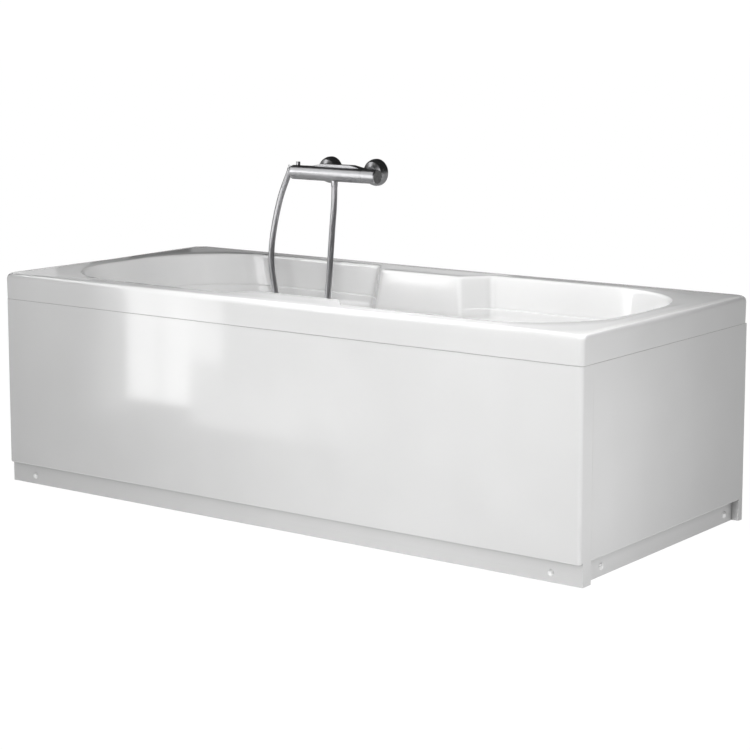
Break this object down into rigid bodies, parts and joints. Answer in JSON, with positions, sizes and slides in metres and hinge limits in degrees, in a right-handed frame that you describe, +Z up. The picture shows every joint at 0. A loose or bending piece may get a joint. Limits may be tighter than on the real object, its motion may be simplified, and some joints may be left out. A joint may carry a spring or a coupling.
{
  "type": "bathtub",
  "caption": "Rectangular acrylic bathtub with facing mid consoles, stepped apron panels, levelling steel frame, pop-up waste with overflow, and a wall bar mixer with hose.",
  "frame": {"origin": "on the floor under the middle of the tub, at the centre of the middle foot's pad", "axes": "+Z up, +X along the tub from the backrest to the foot end, +Y from the open front to the wall"},
  "size_m": [1.6996, 0.7698, 0.8125],
  "materials": {
    "acrylic_white": "glossy white acrylic",
    "cap_white": "glossy white cap",
    "frame_paint": "light grey powder coat",
    "zinc_steel": "zinc-plated steel",
    "board": "raw particle board",
    "clip_plastic": "moulded plastic",
    "chrome": "polished chrome",
    "seal_rubber": "black rubber",
    "pipe_plastic": "white polypropylene",
    "cable_plastic": "grey cable sheath",
    "hose_metal": "satin metal-look hose",
    "cartridge_brass": "turned brass",
    "button_plastic": "dark grey button"
  },
  "bodies": {
    "tub": {"tub_shell": "acrylic_white", "front_panel": "acrylic_white", "end_panel": "acrylic_white", "screw_caps": "cap_white", "upright_front_left": "frame_paint", "upright_back_left": "frame_paint", "upright_front_right": "frame_paint", "upright_back_right": "frame_paint", "rail_left": "frame_paint", "rail_right": "frame_paint", "rail_front": "frame_paint", "rail_back": "frame_paint", "bearer_left": "frame_paint", "bearer_middle": "frame_paint", "bearer_right": "frame_paint", "panel_screws": "zinc_steel", "plinth_brackets": "zinc_steel", "foot_nuts": "zinc_steel", "base_board": "board", "panel_clips": "clip_plastic", "mixer_body": "chrome", "wall_union_left": "chrome", "wall_union_right": "chrome", "rosette_left": "chrome", "rosette_right": "chrome", "union_nuts": "chrome", "hose_nut": "chrome", "hose_cone": "chrome", "hose_holder": "chrome", "waste_flange": "chrome", "overflow_faceplate": "chrome", "waste_seal": "seal_rubber", "overflow_seal": "seal_rubber", "union_washers": "seal_rubber", "waste_body": "pipe_plastic", "overflow_elbow": "pipe_plastic", "overflow_pipe": "pipe_plastic", "trap_body": "pipe_plastic", "trap_nut": "pipe_plastic", "drain_pipe": "pipe_plastic", "plug_cable": "cable_plastic", "shower_hose": "hose_metal", "flow_cartridge": "cartridge_brass", "thermostat_cartridge": "cartridge_brass"},
    "foot_middle_body": {"foot_middle": "zinc_steel"},
    "foot_front_left_body": {"foot_front_left": "zinc_steel"},
    "foot_back_left_body": {"foot_back_left": "zinc_steel"},
    "foot_front_right_body": {"foot_front_right": "zinc_steel"},
    "foot_back_right_body": {"foot_back_right": "zinc_steel"},
    "flow_handle_body": {"flow_handle": "chrome"},
    "temperature_handle_body": {"temperature_handle": "chrome"},
    "stop_button_body": {"stop_button": "button_plastic"},
    "overflow_knob_body": {"overflow_knob": "chrome"},
    "waste_plug_body": {"waste_plug": "chrome"}
  },
  "joints": [
    {"name": "flow_turn", "type": "hinge", "parent": "tub", "child": "flow_handle_body", "pos_m": [-0.4025, 0.293, 0.773], "axis": [-1, 0, 0], "range_deg": [0, 90]},
    {"name": "temperature_turn", "type": "hinge", "parent": "tub", "child": "temperature_handle_body", "pos_m": [-0.2125, 0.293, 0.773], "axis": [1, 0, 0], "range_deg": [-120, 90]},
    {"name": "stop_press", "type": "slide", "parent": "temperature_handle_body", "child": "stop_button_body", "axis": [0, -1, 0], "range_m": [0, 0.0025], "stiffness_N_per_m": 400},
    {"name": "overflow_turn", "type": "hinge", "parent": "tub", "child": "overflow_knob_body", "pos_m": [0.76785, 0, 0.478], "axis": [-0.9869, 0, 0.1615], "range_deg": [0, 90]},
    {"name": "plug_lift", "type": "slide", "parent": "tub", "child": "waste_plug_body", "axis": [0, 0, 1], "range_m": [0, 0.008]},
    {"name": "foot_middle_level", "type": "slide", "parent": "tub", "child": "foot_middle_body", "axis": [0, 0, 1], "range_m": [-0.012, 0.014]},
    {"name": "foot_front_left_level", "type": "slide", "parent": "tub", "child": "foot_front_left_body", "axis": [0, 0, 1], "range_m": [-0.012, 0.014]},
    {"name": "foot_back_left_level", "type": "slide", "parent": "tub", "child": "foot_back_left_body", "axis": [0, 0, 1], "range_m": [-0.012, 0.014]},
    {"name": "foot_front_right_level", "type": "slide", "parent": "tub", "child": "foot_front_right_body", "axis": [0, 0, 1], "range_m": [-0.012, 0.014]},
    {"name": "foot_back_right_level", "type": "slide", "parent": "tub", "child": "foot_back_right_body", "axis": [0, 0, 1], "range_m": [-0.012, 0.014]}
  ],
  "couplings": [
    {"joint": "overflow_turn", "follows": "plug_lift", "rad_per_m": 194}
  ]
}
